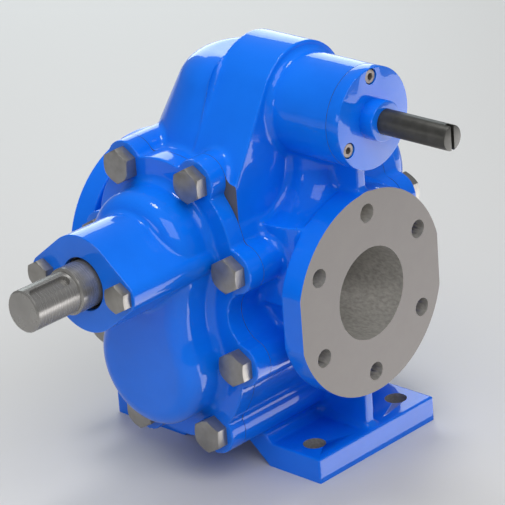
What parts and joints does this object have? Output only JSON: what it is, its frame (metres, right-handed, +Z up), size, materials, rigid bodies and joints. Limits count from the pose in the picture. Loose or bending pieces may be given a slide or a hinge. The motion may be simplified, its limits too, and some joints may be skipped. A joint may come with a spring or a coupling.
{
  "type": "gear pump",
  "caption": "External gear pump with two flanged side ports, foot mounting, a keyed drive shaft and a relief valve with adjusting spindle on top.",
  "frame": {"origin": "middle of the four foot bolts, on the plane the feet stand on", "axes": "+Z up, -Y along the drive shaft out of the pump, +X out of the port on the relief valve's adjusting side"},
  "size_m": [0.405, 0.4585, 0.4145],
  "materials": {
    "blue_paint": "glossy bright blue enamel on cast iron",
    "gasket_fibre": "matt compressed fibre sheet",
    "bolt_steel": "plain steel, turned and tumbled",
    "ground_steel": "ground bright steel",
    "gear_steel": "hobbed steel with a film of oil",
    "bush_bronze": "bored bronze",
    "seal_carbon": "lapped dark carbon",
    "spring_steel": "drawn wire",
    "dark_steel": "oil-blackened steel",
    "black_rubber": "smooth",
    "plated_steel": "yellow passivated steel"
  },
  "bodies": {
    "housing": {"pump_body": "blue_paint", "front_cover": "blue_paint", "rear_cover": "blue_paint", "front_gasket": "gasket_fibre", "rear_gasket": "gasket_fibre", "front_cover_bolts": "bolt_steel", "rear_cover_bolts": "bolt_steel", "dowel_pins": "ground_steel", "drive_front_bush": "bush_bronze", "drive_rear_bush": "bush_bronze", "driven_front_bush": "bush_bronze", "driven_rear_bush": "bush_bronze", "seal_cover": "blue_paint", "seal_cover_gasket": "gasket_fibre", "seal_cover_bolts": "bolt_steel", "seal_seat": "seal_carbon", "valve_seat": "bush_bronze", "spindle_o_ring": "black_rubber", "valve_cover": "blue_paint", "valve_cover_o_ring": "black_rubber", "valve_cover_screws": "plated_steel"},
    "drive_rotor": {"drive_shaft": "ground_steel", "drive_gear": "gear_steel", "drive_gear_key": "gear_steel", "seal_ring": "seal_carbon", "seal_spring": "spring_steel", "seal_collar": "ground_steel"},
    "driven_rotor": {"driven_shaft": "ground_steel", "driven_gear": "gear_steel", "driven_gear_key": "gear_steel"},
    "poppet": {"relief_poppet": "ground_steel", "relief_spring": "spring_steel"},
    "plate": {"spring_plate": "dark_steel"},
    "spindle": {"adjusting_spindle": "dark_steel"}
  },
  "joints": [
    {"name": "drive_shaft_turn", "type": "hinge", "parent": "housing", "child": "drive_rotor", "pos_m": [0, -0.025, 0.236], "axis": [0, 1, 0], "continuous": true},
    {"name": "driven_shaft_turn", "type": "hinge", "parent": "housing", "child": "driven_rotor", "pos_m": [0, -0.025, 0.128], "axis": [0, 1, 0], "continuous": true},
    {"name": "relief_poppet_lift", "type": "slide", "parent": "housing", "child": "poppet", "axis": [1, 0, 0], "range_m": [0, 0.012], "stiffness_N_per_m": 20000, "springref_m": -0.01, "deforming": ["relief_spring"]},
    {"name": "spring_plate_travel", "type": "slide", "parent": "housing", "child": "plate", "axis": [1, 0, 0], "range_m": [-0.012, 0], "deforming": ["relief_spring"]},
    {"name": "adjusting_spindle_turn", "type": "hinge", "parent": "plate", "child": "spindle", "pos_m": [0.2, -0.025, 0.3575], "axis": [1, 0, 0], "range_deg": [-1440, 0]}
  ],
  "couplings": [
    {"joint": "driven_shaft_turn", "follows": "drive_shaft_turn", "ratio": -1},
    {"joint": "adjusting_spindle_turn", "follows": "spring_plate_travel", "rad_per_m": 2094.4}
  ]
}
